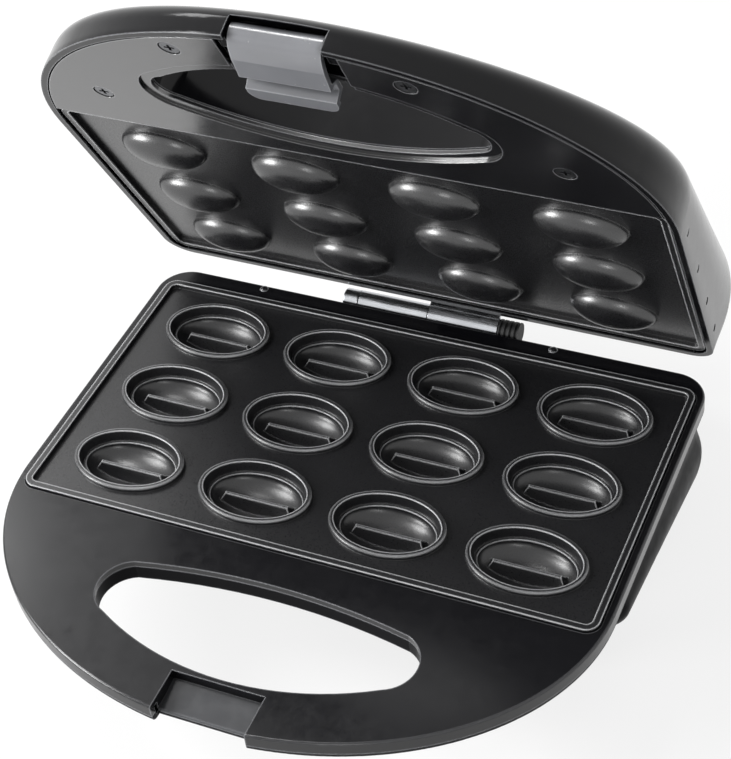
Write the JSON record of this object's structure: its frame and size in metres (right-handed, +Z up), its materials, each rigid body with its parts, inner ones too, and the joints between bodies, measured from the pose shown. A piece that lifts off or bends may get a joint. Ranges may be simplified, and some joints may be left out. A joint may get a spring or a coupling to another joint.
{
  "type": "nut cookie maker",
  "caption": "Electric nut cookie maker: clamshell appliance with hinged moulded hot plates, looped handle halves, a swinging front latch and short feet, shown open.",
  "frame": {"origin": "on the table under the middle of the bounding box of the open appliance", "axes": "+X to the user's right, +Y towards the hinge at the back, +Z up"},
  "size_m": [0.2282, 0.2454, 0.2441],
  "materials": {
    "casing_plastic": "high gloss, deep black",
    "trim_plastic": "smooth satin gloss, charcoal",
    "coated_plate": "die-cast, black non-stick coating, semi-gloss",
    "element_sheath": "drawn tube, heat-tinted",
    "plated_steel": "zinc plated",
    "screw_steel": "plated, satin",
    "reflector_sheet": "bright rolled sheet",
    "control_can": "plated can",
    "terminal_plastic": "moulded, off-white",
    "lead_braid": "woven glass-fibre sleeve",
    "gland_rubber": "moulded, matte",
    "foot_rubber": "moulded, matte",
    "stud_plastic": "smooth",
    "red_lens": "clear-tinted, polished",
    "green_lens": "clear-tinted, polished",
    "lamp_glass": "clear bulb"
  },
  "bodies": {
    "base": {"base_shell": "casing_plastic", "base_deck": "trim_plastic", "latch_catch": "trim_plastic", "lower_mould_plate": "coated_plate", "lower_heating_element": "element_sheath", "lower_element_clamps": "plated_steel", "lower_clamp_screws": "screw_steel", "lower_heat_reflector": "reflector_sheet", "lower_reflector_screws": "screw_steel", "lower_plate_screws": "screw_steel", "lower_thermostat": "control_can", "lower_thermal_fuse": "control_can", "terminal_block": "terminal_plastic", "base_leads": "lead_braid", "cord_gland": "gland_rubber", "front_feet": "foot_rubber", "rear_feet": "foot_rubber", "base_screws": "screw_steel", "ledge_bumps": "stud_plastic", "hinge_base_leaf": "plated_steel", "hinge_base_screws": "screw_steel", "hinge_pin": "screw_steel", "hinge_cable_sleeve": "gland_rubber"},
    "lid": {"lid_shell": "casing_plastic", "lid_bezel": "trim_plastic", "upper_mould_plate": "coated_plate", "upper_heating_element": "element_sheath", "upper_element_clamps": "plated_steel", "upper_clamp_screws": "screw_steel", "upper_heat_reflector": "reflector_sheet", "upper_reflector_screws": "screw_steel", "upper_plate_screws": "screw_steel", "upper_thermostat": "control_can", "lid_leads": "lead_braid", "bezel_screws": "screw_steel", "side_studs": "stud_plastic", "power_lamp_lens": "red_lens", "ready_lamp_lens": "green_lens", "lamp_bulbs": "lamp_glass", "hinge_lid_leaf": "plated_steel", "hinge_lid_screws": "screw_steel", "latch_pin": "screw_steel"},
    "latch_clip": {"latch": "trim_plastic"}
  },
  "joints": [
    {"name": "lid_hinge", "type": "hinge", "parent": "base", "child": "lid", "pos_m": [0, 0.08692, 0.051], "axis": [-1, 0, 0], "range_deg": [-62.1, 37.9]},
    {"name": "latch_pivot", "type": "hinge", "parent": "lid", "child": "latch_clip", "pos_m": [0, -0.00464, 0.23889], "axis": [-1, 0, 0], "range_deg": [0, 75]}
  ]
}
